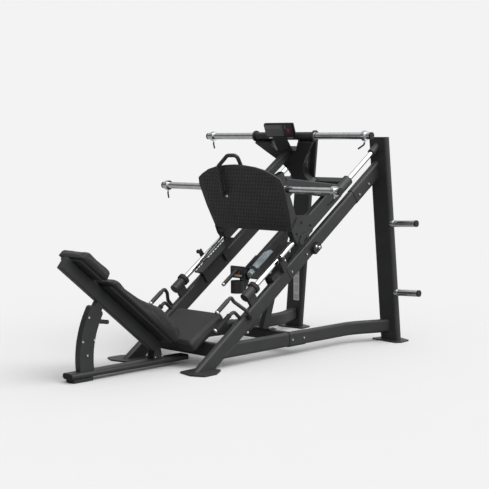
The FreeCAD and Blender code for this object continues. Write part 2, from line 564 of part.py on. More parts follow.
save("top_bar", top_bar_outer.cut(rod(at(-400, TOP_BAR_U, TOP_BAR_V), at(400, TOP_BAR_U, TOP_BAR_V), 25)))

TUBE_V = 323.0
centre_tube = bar(at(0, 760, TUBE_V), at(0, YOKE_U0, TUBE_V), 50, 58, 8, TUBE_WALL)
behind_plate = bar(plate(0, -100, 150 - PLATE_T), plate(0, 700, 150 - PLATE_T), 900, 300)
centre_tube = biggest(centre_tube.cut(behind_plate).cut(bracket_plate))
save("sled_centre_tube", centre_tube)

SLED_HORN = V(0, -1025, 1181)
TOP_HORN = at(0, TOP_BAR_U, TOP_BAR_V)
SLED_HORN_END, TOP_HORN_END = 863.0, 798.0
plate_horns, horn_caps = [], []
horn = pipe(SLED_HORN + ACROSS * 375, SLED_HORN + ACROSS * SLED_HORN_END, HORN_R, HORN_BORE)
flange = pipe(SLED_HORN + ACROSS * 375, SLED_HORN + ACROSS * 385, 37, HORN_R)
plate_horns += both(horn) + both(flange)
horn = pipe(TOP_HORN + ACROSS * 285, TOP_HORN + ACROSS * TOP_HORN_END, HORN_R, HORN_BORE)
flange = pipe(TOP_HORN + ACROSS * 285, TOP_HORN + ACROSS * 297, 41, HORN_R)
plate_horns += both(horn) + both(flange)
horn_caps += both(rod(SLED_HORN + ACROSS * SLED_HORN_END, SLED_HORN + ACROSS * (SLED_HORN_END + 12), HORN_R))
horn_caps += both(rod(TOP_HORN + ACROSS * TOP_HORN_END, TOP_HORN + ACROSS * (TOP_HORN_END + 12), HORN_R))
save("plate_horns", plate_horns)
save("horn_caps", horn_caps)

# top display panel, leaning towards the user
LEAN_P = math.radians(20)
P_UP = V(0, -math.sin(LEAN_P), math.cos(LEAN_P))
top_panel = slab([(-142.5, 0), (142.5, 0), (142.5, 122), (-142.5, 122)], V(0, -641, 1534), ACROSS, P_UP, -10, 8)
save("top_placard", top_panel.cut(bracket_plate))

# hoop handle over the top edge of the foot plate
hoop = bent_rod([plate(-170, 284, 0), plate(-170, 284, 30), plate(-136, 506, 26), plate(-32, 584, 4),
                 plate(42, 578, -14), plate(32, 496, -34), plate(46, 420, -34), plate(46, 420, -PLATE_T)],
                14, 30)
save("plate_hoop", hoop.cut(foot_plate))

# ---- collars ----------------------------------------------------------------------------------
for name, centre, end in (("sled", SLED_HORN, 836), ("top", TOP_HORN, 762)):
    collar = pipe(centre + ACROSS * (end - 28), centre + ACROSS * end, 36, HORN_R + RUNNING)
    grip_bar = bent_rod([centre + V(end - 14, 0, -32), centre + V(end - 18, -6, -62), centre + V(end - 52, -30, -92)],
                        6, 15)
    collar = collar.fuse(grip_bar)
    collar = collar.cut(rod(centre + ACROSS * 300, centre + ACROSS * 900, HORN_R + RUNNING)).removeSplitter()
    save("right_" + name + "_collar", collar)
    save("left_" + name + "_collar", mirrored(collar))

# ---- screws -------------------------------------------------------------------------------------
bolts = []
for y, z in ((-2549, 254), (-2514, 163), (-2456, 256), (-2498, 405)):
    bolts += both(screw(V(25, y, z), ACROSS))
for y, z in ((-1943, 78), (-1884, 80)):
    bolts += both(screw(V(35, y, z), ACROSS, 6, 5))
for y in (-945, -822):
    bolts += both(screw(V(379, y, 115), ACROSS))
for u in (345, 542):
    bolts += both(screw(at(378, u, RAIL_V), ACROSS))
for u, v in ((1266, -150), (1400, -150)):
    bolts += both(screw(at(378, u, v), ACROSS))
for x in (-66, 66):
    for y in (-842, -804):
        bolts.append(screw(V(x, y, 146), UP, 8, 6))
save("frame_bolts", bolts)


# ---- write the parts ----------------------------------------------------------------------------
os.makedirs("parts", exist_ok=True)
for name, shape in parts.items():
    shape = shape.copy()
    shape.translate(V(0, ORIGIN_SHIFT, 0))
    shape.exportStep("parts/" + name + ".step")
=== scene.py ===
import json
import math

import bmesh
import bpy
from mathutils import Matrix, Vector
from mathutils.bvhtree import BVHTree

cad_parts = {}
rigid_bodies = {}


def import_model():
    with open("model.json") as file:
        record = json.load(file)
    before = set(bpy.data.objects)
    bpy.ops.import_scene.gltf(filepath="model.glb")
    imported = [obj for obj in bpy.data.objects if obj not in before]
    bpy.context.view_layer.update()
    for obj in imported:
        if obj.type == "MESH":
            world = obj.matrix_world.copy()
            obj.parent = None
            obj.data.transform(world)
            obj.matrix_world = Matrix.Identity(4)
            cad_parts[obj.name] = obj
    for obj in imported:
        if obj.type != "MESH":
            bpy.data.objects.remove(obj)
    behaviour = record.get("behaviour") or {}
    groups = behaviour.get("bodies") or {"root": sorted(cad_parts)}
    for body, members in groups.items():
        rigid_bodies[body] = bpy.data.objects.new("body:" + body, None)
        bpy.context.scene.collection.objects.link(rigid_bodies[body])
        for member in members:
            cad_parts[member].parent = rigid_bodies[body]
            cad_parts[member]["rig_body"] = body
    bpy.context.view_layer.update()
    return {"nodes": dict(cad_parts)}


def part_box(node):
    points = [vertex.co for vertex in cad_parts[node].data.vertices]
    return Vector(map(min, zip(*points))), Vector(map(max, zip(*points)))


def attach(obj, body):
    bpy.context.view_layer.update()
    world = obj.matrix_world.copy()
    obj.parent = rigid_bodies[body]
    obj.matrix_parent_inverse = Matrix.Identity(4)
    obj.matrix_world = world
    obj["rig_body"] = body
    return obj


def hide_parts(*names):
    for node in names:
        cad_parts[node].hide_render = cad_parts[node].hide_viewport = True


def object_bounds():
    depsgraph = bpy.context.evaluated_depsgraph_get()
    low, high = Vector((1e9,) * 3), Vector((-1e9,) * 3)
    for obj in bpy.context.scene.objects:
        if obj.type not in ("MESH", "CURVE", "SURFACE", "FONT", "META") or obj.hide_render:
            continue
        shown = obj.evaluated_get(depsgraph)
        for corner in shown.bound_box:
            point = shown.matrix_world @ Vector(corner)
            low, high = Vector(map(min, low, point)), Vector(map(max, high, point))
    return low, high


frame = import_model()
scene = bpy.context.scene
nodes = frame["nodes"]

# ---- directions and places shared with the CAD, in metres ------------------------------------
X = Vector((1, 0, 0))
UP = Vector((0, 0, 1))


def rising(angle):
    """Direction that climbs forwards at an angle in degrees."""
    return Vector((0, math.cos(math.radians(angle)), math.sin(math.radians(angle))))


def leaning(angle):
    """Direction that leans back from the vertical by an angle in degrees."""
    return Vector((0, -math.sin(math.radians(angle)), math.cos(math.radians(angle))))


ROD_START = Vector((0, -0.047, 0.517))
ROD_X = 0.350
U = rising(35)                     # up the rods
W = leaning(35)                    # square to them
PLATE_FOOT = Vector((0, 0.317, 0.880))
T_UP = leaning(22.9)               # up the foot plate
T_OUT = Vector((0, -T_UP.z, T_UP.y))
BACK_START = Vector((0, -0.802, 0.216))
N = rising(51)                     # out of the backrest
S = leaning(51)                    # up the backrest
SEAT_REAR = Vector((0, -0.534, 0.165))
F = rising(30)                     # forward on the seat
SEAT_UP = leaning(30)
SLED_HORN_AXIS, TOP_HORN_AXIS = (0.244, 1.181), (0.66399, 1.55503)


def at(x, u, v):
    return ROD_START + X * x + U * u + W * v


def plate(x, t, out):
    return PLATE_FOOT + X * x + T_UP * t + T_OUT * out


def back(x, s, n):
    return BACK_START + X * x + S * s + N * n


def seat(x, f, n):
    return SEAT_REAR + X * x + F * f + SEAT_UP * n


# ---- materials -------------------------------------------------------------------------------
def add(mat, kind, inputs=None, **settings):
    """A node in a material or world; an input is a value or another node's output."""
    tree = mat.node_tree
    made = tree.nodes.new("ShaderNode" + kind)
    for key, value in settings.items():
        setattr(made, key, value)
    for key, value in (inputs or {}).items():
        if isinstance(value, bpy.types.NodeSocket):
            tree.links.new(value, made.inputs[key])
        else:
            made.inputs[key].default_value = value
    return made


def new_material(name):
    mat = bpy.data.materials.new(name)
    mat.use_nodes = True
    mat.node_tree.nodes.clear()
    return mat


def place(mat):
    return add(mat, "TexCoord").outputs["Object"]


def math_node(mat, operation, a, b=0.0):
    return add(mat, "Math", {0: a, 1: b}, operation=operation).outputs[0]


def plus(mat, a, b):
    return math_node(mat, "ADD", a, b)


def minus(mat, a, b):
    return math_node(mat, "SUBTRACT", a, b)


def times(mat, a, b):
    return math_node(mat, "MULTIPLY", a, b)


def distance(mat, a, b=0.0):
    return math_node(mat, "ABSOLUTE", minus(mat, a, b) if b else a)


def along(mat, vector, direction):
    return add(mat, "VectorMath", {0: vector, 1: direction}, operation="DOT_PRODUCT").outputs["Value"]


def measured_from(mat, start):
    return add(mat, "VectorMath", {0: place(mat), 1: start}, operation="SUBTRACT").outputs[0]


def scaled(colour, factor, lift=0.0):
    return [c * factor + lift for c in colour]


def noise(mat, scale, detail=2.0, stretch=None, rough=0.5):
    where = place(mat)
    if stretch:
        where = add(mat, "Mapping", {"Vector": where, "Scale": stretch}).outputs[0]
    return add(mat, "TexNoise", {"Vector": where, "Scale": scale, "Detail": detail,
                                 "Roughness": rough}).outputs[0]


def between(mat, value, low, high, to_low, to_high):
    return add(mat, "MapRange", {"Value": value, "From Min": low, "From Max": high,
                                 "To Min": to_low, "To Max": to_high}).outputs[0]


def mix(mat, factor, a, b):
    made = add(mat, "Mix", {0: factor}, data_type="RGBA")
    for slot, value in ((6, a), (7, b)):
        if isinstance(value, bpy.types.NodeSocket):
            mat.node_tree.links.new(value, made.inputs[slot])
        else:
            made.inputs[slot].default_value = (*value, 1)
    return made.outputs[2]


def bump(mat, height, strength, distance, normal=None):
    inputs = {"Height": height, "Strength": strength, "Distance": distance}
    if normal:
        inputs["Normal"] = normal
    return add(mat, "Bump", inputs).outputs[0]


def surface(mat, **inputs):
    shader = add(mat, "BsdfPrincipled", {k.replace("_", " "): v for k, v in inputs.items()})
    add(mat, "OutputMaterial", {"Surface": shader.outputs[0]})


def paint(name, colour, rough=0.42, radius=0.0016):
    """Fine-textured powder coat: orange peel, cloudy tone, softened edges, and a painted highlight along
    the edges.
    """
    mat = new_material(name)
    cloud = noise(mat, 7, 4)
    fine = noise(mat, 1500, 1)
    peel = noise(mat, 420, 2)
    soft = add(mat, "Bevel", {"Radius": radius}, samples=4).outputs[0]
    true = add(mat, "NewGeometry").outputs["Normal"]
    turn = along(mat, soft, true)
    # edge mask where the bevelled normal turns from the true one; the lighter colour it brings below is a
    # painted edge highlight, patchy with the peel noise
    edge = times(mat, between(mat, turn, 0.995, 0.9, 0, 1), peel)
    tone = mix(mat, between(mat, cloud, 0.3, 0.7, 0, 1), scaled(colour, 0.86), scaled(colour, 1.14))
    tone = mix(mat, between(mat, fine, 0.45, 0.75, 0, 0.35), tone, scaled(colour, 1.9))
    tone = mix(mat, times(mat, edge, 0.55), tone, scaled(colour, 2.6, 0.01))
    normal = bump(mat, peel, 0.10, 0.0006, soft)
    normal = bump(mat, fine, 0.16, 0.0003, normal)
    surface(mat, Base_Color=tone, Roughness=between(mat, cloud, 0.2, 0.8, rough - 0.05, rough + 0.08),
            Specular_IOR_Level=0.42, Normal=normal)
    return mat


def chrome(name, stretch, rough=0.10):
    """Polished plating with fine drawn lines along one direction and faint smudges."""
    mat = new_material(name)
    lines = noise(mat, 1.0, 3, stretch)
    smudge = noise(mat, 22, 4, rough=0.5)
    tone = mix(mat, between(mat, smudge, 0.35, 0.75, 0, 1), (0.80, 0.805, 0.815), (0.72, 0.73, 0.75))
    level = plus(mat, between(mat, smudge, 0.3, 0.8, rough - 0.03, rough + 0.05), times(mat, lines, 0.02))
    surface(mat, Base_Color=tone, Metallic=1.0, Roughness=level, Normal=bump(mat, lines, 0.008, 0.0002))
    return mat


def ringed_chrome(name, reach_of_chrome, dark):
    """Chrome near the weight horns' axes, and black coating further out from them."""
    mat = new_material(name)
    parts = add(mat, "SeparateXYZ", {0: place(mat)}).outputs
    reach = None
    for y, z in (SLED_HORN_AXIS, TOP_HORN_AXIS):
        dy = math_node(mat, "POWER", distance(mat, parts[1], y), 2.0)
        dz = math_node(mat, "POWER", distance(mat, parts[2], z), 2.0)
        away = math_node(mat, "SQRT", plus(mat, dy, dz))
        reach = math_node(mat, "MINIMUM", reach, away) if reach else away
    grip = between(mat, reach, reach_of_chrome, reach_of_chrome + 0.001, 0, 1)
    grain = noise(mat, 700, 3)
    smudge = noise(mat, 30, 4)
    tone = mix(mat, between(mat, smudge, 0.3, 0.7, 0, 1), (0.80, 0.805, 0.815), (0.62, 0.63, 0.65))
    tone = mix(mat, grip, tone, dark)
    rough = plus(mat, between(mat, smudge, 0.3, 0.8, 0.08, 0.2), times(mat, grip, 0.4))
    surface(mat, Base_Color=tone, Metallic=minus(mat, 1.0, grip), Roughness=rough,
            Normal=bump(mat, grain, 0.05, 0.0004))
    return mat


def rubber(name, colour, rough=0.62, scale=600, strength=0.25, ribs=None):
    """Moulded rubber or plastic with fine grain and dust; ribs points along them, as long as their
    number per metre."""
    mat = new_material(name)
    grain = noise(mat, scale, 3)
    dust = noise(mat, 30, 5, rough=0.7)
    tone = mix(mat, between(mat, dust, 0.4, 0.8, 0, 0.6), colour, scaled(colour, 1.8, 0.004))
    normal = bump(mat, grain, strength, 0.0008)
    if ribs:
        rib_bumps_and_shade = math_node(mat, "SINE", times(mat, along(mat, place(mat), ribs), 6.2832))
        normal = bump(mat, rib_bumps_and_shade, 0.5, 0.0012, normal)
        # bands that follow the rib bumps are painted darker: painted shade across the ribs
        tone = mix(mat, between(mat, rib_bumps_and_shade, -1, 1, 0.0, 0.35), tone, scaled(colour, 0.4))
    surface(mat, Base_Color=tone, Roughness=between(mat, dust, 0.2, 0.8, rough - 0.08, rough + 0.1),
            Specular_IOR_Level=0.35, Normal=normal)
    return mat


def vinyl(name, colour):
    """Upholstery vinyl: pebbled grain in two sizes, soft sheen, faint creasing and handling marks; painted
    shade darkens the grain's grooves.
    """
    mat = new_material(name)
    stray = add(mat, "TexNoise", {"Vector": place(mat), "Scale": 90}).outputs[1]
    where = add(mat, "VectorMath", {0: place(mat), 1: stray}, operation="ADD").outputs[0]
    pebble_grain_and_shade = add(mat, "TexVoronoi", {"Vector": where, "Scale": 420},
                 feature="DISTANCE_TO_EDGE").outputs["Distance"]
    pebble_grain_and_shade = between(mat, pebble_grain_and_shade, 0.0, 0.22, 0, 1)
    pores = noise(mat, 1400, 2)
    crease = noise(mat, 9, 5, (1, 1.6, 1.6), 0.62)
    handled = noise(mat, 4, 3)
    # the grain's grooves are painted darker: painted shade in the recesses of the pebbling
    tone = mix(mat, pebble_grain_and_shade, scaled(colour, 0.55), colour)
    tone = mix(mat, between(mat, handled, 0.35, 0.7, 0, 0.5), tone, scaled(colour, 1.5))
    normal = bump(mat, crease, 0.22, 0.006)
    normal = bump(mat, pebble_grain_and_shade, 0.35, 0.0007, normal)
    normal = bump(mat, pores, 0.12, 0.0003, normal)
    rough = plus(mat, between(mat, handled, 0.3, 0.7, 0.44, 0.56), times(mat, pebble_grain_and_shade, -0.05))
    surface(mat, Base_Color=tone, Roughness=rough, Specular_IOR_Level=0.32, Sheen_Weight=0.05,
            Sheen_Roughness=0.5, Normal=normal)
    return mat


TREAD_PITCH = 0.0285


def tread(name, colour):
    """Foot plate: staggered sunk lozenges inside a plain edge band, painted dark as painted shade in the
    recesses.
    """
    mat = new_material(name)
    across = add(mat, "SeparateXYZ", {0: place(mat)}).outputs[0]
    moved = measured_from(mat, PLATE_FOOT)
    up = along(mat, moved, T_UP)
    out = along(mat, moved, T_OUT)
    row = math_node(mat, "DIVIDE", up, TREAD_PITCH)
    shift = times(mat, math_node(mat, "MODULO", math_node(mat, "FLOOR", row), 2.0), 0.5)
    column = plus(mat, math_node(mat, "DIVIDE", plus(mat, across, 1.0), TREAD_PITCH), shift)
    dx = distance(mat, math_node(mat, "FRACT", column), 0.5)
    dy = distance(mat, math_node(mat, "FRACT", row), 0.5)
    away = plus(mat, times(mat, dx, 3.0), times(mat, dy, 1.8))
    sunk_lozenge_and_shade = add(mat, "MapRange", {"Value": away, "From Min": 0.85, "From Max": 0.55, "To Min": 0.0,
                                 "To Max": 1.0}, interpolation_type="SMOOTHSTEP").outputs[0]
    wide = between(mat, distance(mat, across), 0.368, 0.356, 0, 1)
    fall = math_node(mat, "POWER", distance(mat, across), 2.6)
    reach = minus(mat, 0.487, times(mat, fall, 0.9))
    high = between(mat, minus(mat, reach, up), 0.0, 0.008, 0, 1)
    low = between(mat, up, 0.012, 0.020, 0, 1)
    front = between(mat, out, -0.002, -0.0005, 0, 1)
    field = times(mat, times(mat, wide, high), times(mat, low, front))
    sunk_lozenge_and_shade = times(mat, sunk_lozenge_and_shade, field)
    fine = noise(mat, 1300, 2)
    cloud = noise(mat, 9, 4)
    tone = mix(mat, between(mat, cloud, 0.3, 0.7, 0, 1), scaled(colour, 0.85), scaled(colour, 1.15))
    # the sunk lozenges are painted dark: painted shade in the recesses
    tone = mix(mat, sunk_lozenge_and_shade, tone, scaled(colour, 0.22))
    normal = bump(mat, between(mat, sunk_lozenge_and_shade, 0, 1, 1, 0), 0.6, 0.0016)
    normal = bump(mat, fine, 0.2, 0.0004, normal)
    surface(mat, Base_Color=tone, Roughness=between(mat, sunk_lozenge_and_shade, 0, 1, 0.50, 0.62),
            Specular_IOR_Level=0.35, Normal=normal)
    return mat


def bottle_plastic(name):
    """Pale blue bottle plastic, cloudy and lightly scuffed."""
    mat = new_material(name)
    swirl = noise(mat, 14, 4)
    scuff = noise(mat, 260, 3)
    tone = mix(mat, between(mat, swirl, 0.3, 0.7, 0, 1), (0.50, 0.61, 0.67), (0.78, 0.86, 0.90))
    surface(mat, Base_Color=tone, Roughness=between(mat, scuff, 0.3, 0.8, 0.08, 0.26), IOR=1.40,
            Transmission_Weight=0.40, Coat_Weight=0.3, Normal=bump(mat, swirl, 0.15, 0.003))
    return mat


def painted_face(name, base, middle, axes, marks):
    """A plain panel with soft-edged rectangles (x0, x1, y0, y1, colour), measured from its middle."""
    mat = new_material(name)
    moved = measured_from(mat, middle)
    a, b = (along(mat, moved, axis) for axis in axes)
    grime = noise(mat, 60, 4)
    tone = mix(mat, between(mat, grime, 0.3, 0.7, 0, 0.4), base, scaled(base, 1.5, 0.002))
    for x0, x1, y0, y1, colour in marks:
        wide = minus(mat, (x1 - x0) / 2, distance(mat, a, (x0 + x1) / 2))
        tall = minus(mat, (y1 - y0) / 2, distance(mat, b, (y0 + y1) / 2))
        inside = between(mat, math_node(mat, "MINIMUM", wide, tall), 0.0, 0.0008, 0, 1)
        tone = mix(mat, inside, tone, colour)
    surface(mat, Base_Color=tone, Roughness=between(mat, grime, 0.3, 0.7, 0.28, 0.4),
            Coat_Weight=0.15, Normal=bump(mat, noise(mat, 900, 2), 0.08, 0.0004))
    return mat


BLACK = (0.0265, 0.0272, 0.0285)
frame_paint = paint("frame_paint", BLACK)
sled_paint = paint("sled_paint", (0.0275, 0.0283, 0.0297), 0.40)
bar_chrome = chrome("bar_chrome", (3, 900, 900))
collar_finish = ringed_chrome("collar_finish", 0.048, (0.020, 0.020, 0.021))
horn_finish = ringed_chrome("horn_finish", 0.0262, BLACK)
rod_chrome = chrome("rod_chrome", (900, 4, 4), 0.07)
bolt_chrome = chrome("bolt_chrome", (400, 400, 400), 0.18)
soft_rubber = rubber("soft_rubber", (0.018, 0.018, 0.019))
foot_rubber = rubber("foot_rubber", (0.022, 0.022, 0.022), 0.72, 350, 0.4)
grip_rubber = rubber("grip_rubber", (0.017, 0.017, 0.018), 0.58, 700, 0.3, tuple(U * 260))
black_plastic = rubber("black_plastic", (0.024, 0.024, 0.026), 0.40, 1100, 0.15)
liner_plastic = rubber("liner_plastic", (0.30, 0.29, 0.27), 0.45, 900, 0.1)
pad_vinyl = vinyl("pad_vinyl", (0.0235, 0.0238, 0.0250))
thread_vinyl = vinyl("thread_vinyl", (0.030, 0.030, 0.032))
tread_plate = tread("tread_plate", (0.044, 0.0445, 0.046))
clear_blue = bottle_plastic("clear_blue")

FINISHES = {
    "storage_horns": bar_chrome, "plate_horns": horn_finish, "sled_collar": collar_finish,
    "top_collar": collar_finish, "guide_rods": rod_chrome, "frame_bolts": bolt_chrome,
    "rod_bumpers": soft_rubber, "end_caps": soft_rubber, "horn_caps": soft_rubber,
    "catch_blocks": soft_rubber, "floor_foot": foot_rubber, "back_pop_pin": black_plastic,
    "beam_fittings": black_plastic, "top_placard": black_plastic, "placards": black_plastic,
    "range_stop": black_plastic, "bearing_liners": liner_plastic, "foot_plate": tread_plate,
    "clear_bottle": clear_blue,
}
for node, cad in nodes.items():
    name = node.replace("left_", "").replace("right_", "")
    rest_of_body = sled_paint if cad["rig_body"] == "sled" else frame_paint
    cad.data.materials.clear()
    cad.data.materials.append(FINISHES.get(name, rest_of_body))


# ---- shape helpers ---------------------------------------------------------------------------
def link(name, mesh, mat, body):
    piece = bpy.data.objects.new(name, mesh)
    scene.collection.objects.link(piece)
    mesh.materials.clear()
    mesh.materials.append(mat)
    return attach(piece, body)


def mesh_of(made):
    mesh = bpy.data.meshes.new("piece")
    bmesh.ops.recalc_face_normals(made, faces=made.faces)
    made.to_mesh(mesh)
    made.free()
    return mesh


def applied(obj):
    """The object's mesh with its modifiers or bevel applied."""
    bpy.context.view_layer.update()
    graph = bpy.context.evaluated_depsgraph_get()
    return bpy.data.meshes.new_from_object(obj.evaluated_get(graph))


def shade(mesh, smooth):
    for face in mesh.polygons:
        face.use_smooth = smooth


def basis(origin, axis):
    """Matrix whose +Z lies along axis."""
    z = Vector(axis).normalized()
    x = X if abs(z.x) < 0.9 else UP
    x = (x - z * x.dot(z)).normalized()
    turned = Matrix((x, z.cross(x), z)).transposed().to_4x4()
    turned.translation = origin
    return turned


def turned_profile(made, matrix, profile, steps=40):
    """Lathe of (radius, height) points, closed where the radius is zero."""
    angles = [2 * math.pi * i / steps for i in range(steps)]
    rings = []
    for radius, height in profile:
        places = [(radius * math.cos(angle), radius * math.sin(angle), height) for angle in angles]
        if radius < 1e-6:
            places = [(0, 0, height)]
        rings.append([made.verts.new(matrix @ Vector(where)) for where in places])
    for low, high in zip(rings, rings[1:]):
        for i in range(steps):
            j = (i + 1) % steps
            corners = [low[i % len(low)], low[j % len(low)], high[j % len(high)], high[i % len(high)]]
            corners = list(dict.fromkeys(corners))      # a pole gives a triangle
            if len(corners) > 2:
                made.faces.new(corners).smooth = True
    return made


def lathe(name, origin, axis, profile, mat, body, steps=40):
    made = turned_profile(bmesh.new(), basis(origin, axis), profile, steps)
    return link(name, mesh_of(made), mat, body)


def hex_bolt(made, origin, axis, across=0.013, height=0.006, washer=0.0115):
    """Washer and chamfered hexagon head."""
    matrix = basis(origin, axis)
    turned_profile(made, matrix, [(0, 0), (washer, 0), (washer, 0.0016), (washer - 0.0006, 0.002),
                                  (0, 0.002)], 28)
    lifted = matrix @ Matrix.Translation((0, 0, 0.002))
    r = across / math.sqrt(3)
    turned_profile(made, lifted, [(0, 0), (r, 0), (r, height * 0.8), (r * 0.86, height), (0, height)], 6)
    return made


def bolts(name, places, body, mat=None, **size):
    made = bmesh.new()
    for origin, axis in places:
        hex_bolt(made, origin, axis, **size)
    mesh = mesh_of(made)
    shade(mesh, False)
    return link(name, mesh, mat or bolt_chrome, body)


def ring_tube(name, points, radius, mat, body):
    """Round tube along a closed loop of points."""
    curve = bpy.data.curves.new(name, "CURVE")
    curve.dimensions = "3D"
    curve.bevel_depth = radius
    curve.bevel_resolution = 4
    spline = curve.splines.new("POLY")
    spline.points.add(len(points) - 1)
    for point, where in zip(spline.points, points):
        point.co = (*where, 1)
    spline.use_cyclic_u = True
    holder = bpy.data.objects.new(name, curve)
    scene.collection.objects.link(holder)
    mesh = applied(holder)
    bpy.data.objects.remove(holder)
    shade(mesh, True)
    return link(name, mesh, mat, body)


def soften(made, width):
    """Round every edge a little."""
    bmesh.ops.recalc_face_normals(made, faces=made.faces)
    bmesh.ops.bevel(made, geom=list(made.edges), offset=width, segments=2, affect="EDGES",
                    clamp_overlap=True)


def panel(name, origin, x_dir, y_dir, outline, depth, mat, body, bevel):
    """Thin plate from an outline on two axes, with a rounded rim."""
    made = bmesh.new()
    ring = [made.verts.new(origin + x_dir * a + y_dir * b) for a, b in outline]
    face = made.faces.new(ring)
    grown = bmesh.ops.extrude_face_region(made, geom=[face])
    moved = [g for g in grown["geom"] if isinstance(g, bmesh.types.BMVert)]
    bmesh.ops.translate(made, vec=x_dir.cross(y_dir) * depth, verts=moved)
    soften(made, bevel)
    return link(name, mesh_of(made), mat, body)


def rounded(width, height, radius, steps=6):
    """Outline of a rectangle with rounded corners."""
    points = []
    for cx, cy, start in ((1, 1, 0), (-1, 1, 90), (-1, -1, 180), (1, -1, 270)):
        for i in range(steps + 1):
            angle = math.radians(start + 90 * i / steps)
            points.append((cx * (width / 2 - radius) + radius * math.cos(angle),
                           cy * (height / 2 - radius) + radius * math.sin(angle)))
    return points


# ---- cushions --------------------------------------------------------------------------------
HELD_DEPTH = 0.014          # foam this near to the board doesn't swell
CLOTH_FRAMES = 20


def swell(pad, board_point, board_normal, cap, pressure):
    """Blow the pad up as cloth with its board side held; no point moves further than the cap."""
    rest = [vertex.co.copy() for vertex in pad.data.vertices]
    held = pad.vertex_groups.new(name="held")
    held.add([vertex.index for vertex in pad.data.vertices
              if (vertex.co - board_point).dot(board_normal) < HELD_DEPTH], 1.0, "REPLACE")
    cloth = pad.modifiers.new("cloth", "CLOTH")
    cloth.settings.quality = 4
    cloth.settings.mass = 0.3
    cloth.settings.use_pressure = True
    cloth.settings.uniform_pressure_force = pressure
    cloth.settings.effector_weights.gravity = 0
    cloth.settings.vertex_group_mass = "held"
    cloth.collision_settings.use_collision = False
    scene.frame_start, scene.frame_end = 1, CLOTH_FRAMES
    for step in range(1, CLOTH_FRAMES + 1):
        scene.frame_set(step)
    blown = applied(pad)
    pad.modifiers.clear()
    for vertex, start in zip(blown.vertices, rest):
        move = vertex.co - start
        if move.length > cap:
            vertex.co = start + move * (cap / move.length)
    pad.data = blown


def cushion(node, name, body, board_point, board_normal, voxel, shrink, cap, pressure=4.0):
    """Foam pad in place of a CAD pad: remeshed, blown up, then smoothed."""
    pad = bpy.data.objects.new(name, nodes[node].data.copy())
    scene.collection.objects.link(pad)
    low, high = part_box(node)
    centre = (low + high) / 2
    for vertex in pad.data.vertices:
        pulled = vertex.co - centre
        vertex.co = centre + pulled * (1 - 2 * shrink / (high - low).length)
    remesh = pad.modifiers.new("remesh", "REMESH")
    remesh.mode = "VOXEL"
    remesh.voxel_size = voxel
    smooth = pad.modifiers.new("smooth", "SMOOTH")
    smooth.factor = 0.5
    smooth.iterations = 8
    mesh = applied(pad)
    pad.modifiers.clear()
    pad.data = mesh
    swell(pad, board_point, board_normal, cap, pressure)
    calm = pad.modifiers.new("calm", "SMOOTH")
    calm.factor = 0.5
    calm.iterations = 12
    divide = pad.modifiers.new("smoothing", "SUBSURF")
    divide.levels = divide.render_levels = 1
    final = applied(pad)
    pad.modifiers.clear()
    pad.data = final
    shade(final, True)
    final.materials.clear()
    final.materials.append(pad_vinyl)
    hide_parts(node)
    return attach(pad, body)


def seam(name, pad, points, body, radius=0.0012, spacing=0.012):
    """Piping along a closed loop, laid onto the pad's surface."""
    skin = BVHTree.FromPolygons([v.co for v in pad.data.vertices],
                                [face.vertices[:] for face in pad.data.polygons])
    dense = []
    for a, b in zip(points, points[1:] + points[:1]):
        count = max(1, round((b - a).length / spacing))
        dense += [a.lerp(b, i / count) for i in range(count)]
    laid = [skin.find_nearest(point)[0] for point in dense]
    for _ in range(2):
        laid = [(laid[i - 1] + laid[i] * 2 + laid[(i + 1) % len(laid)]) / 4 for i in range(len(laid))]
    return ring_tube(name, laid, radius, thread_vinyl, body)


back_pad = cushion("back_pad", "back_cushion", "backrest", back(0, 0, 0.105), N, 0.006, 0.004, 0.009)
head_pad = cushion("head_pad", "head_cushion", "backrest", back(0, 0, 0.105), N, 0.005, 0.003, 0.007)
seat_pad = cushion("seat_pad", "seat_cushion", "frame", seat(0, 0, -0.067), SEAT_UP, 0.005, 0.003, 0.007)

# side outlines of the pads, up the backrest and out of it
back_profile = [(-0.196, 0.112), (-0.194, 0.183), (-0.134, 0.206), (-0.043, 0.218), (0.047, 0.216),
                (0.163, 0.180), (0.238, 0.162), (0.378, 0.146), (0.465, 0.149), (0.504, 0.140),
                (0.508, 0.112)]
head_profile = [(0.541, 0.112), (0.545, 0.160), (0.560, 0.169), (0.765, 0.166), (0.788, 0.155),
                (0.795, 0.112)]
SIDES = (("right", 1), ("left", -1))
for side, sign in SIDES:
    for part, pad, profile, half in (("back", back_pad, back_profile, 0.148),
                                     ("head", head_pad, head_profile, 0.124)):
        loop = [back(sign * half, s, n) for s, n in profile]
        middle = back(sign * half, sum(s for s, n in profile) / len(profile), 0.150)
        seam(part + "_piping_" + side, pad, [point.lerp(middle, 0.02) for point in loop], "backrest")
rim = [(-0.218, 0.03), (-0.218, 0.33), (-0.190, 0.362), (0.190, 0.362), (0.218, 0.33), (0.218, 0.03),
       (0.205, 0.008), (-0.205, 0.008)]
seam("seat_piping", seat_pad, [seat(x, f, -0.008) for x, f in rim], "frame")

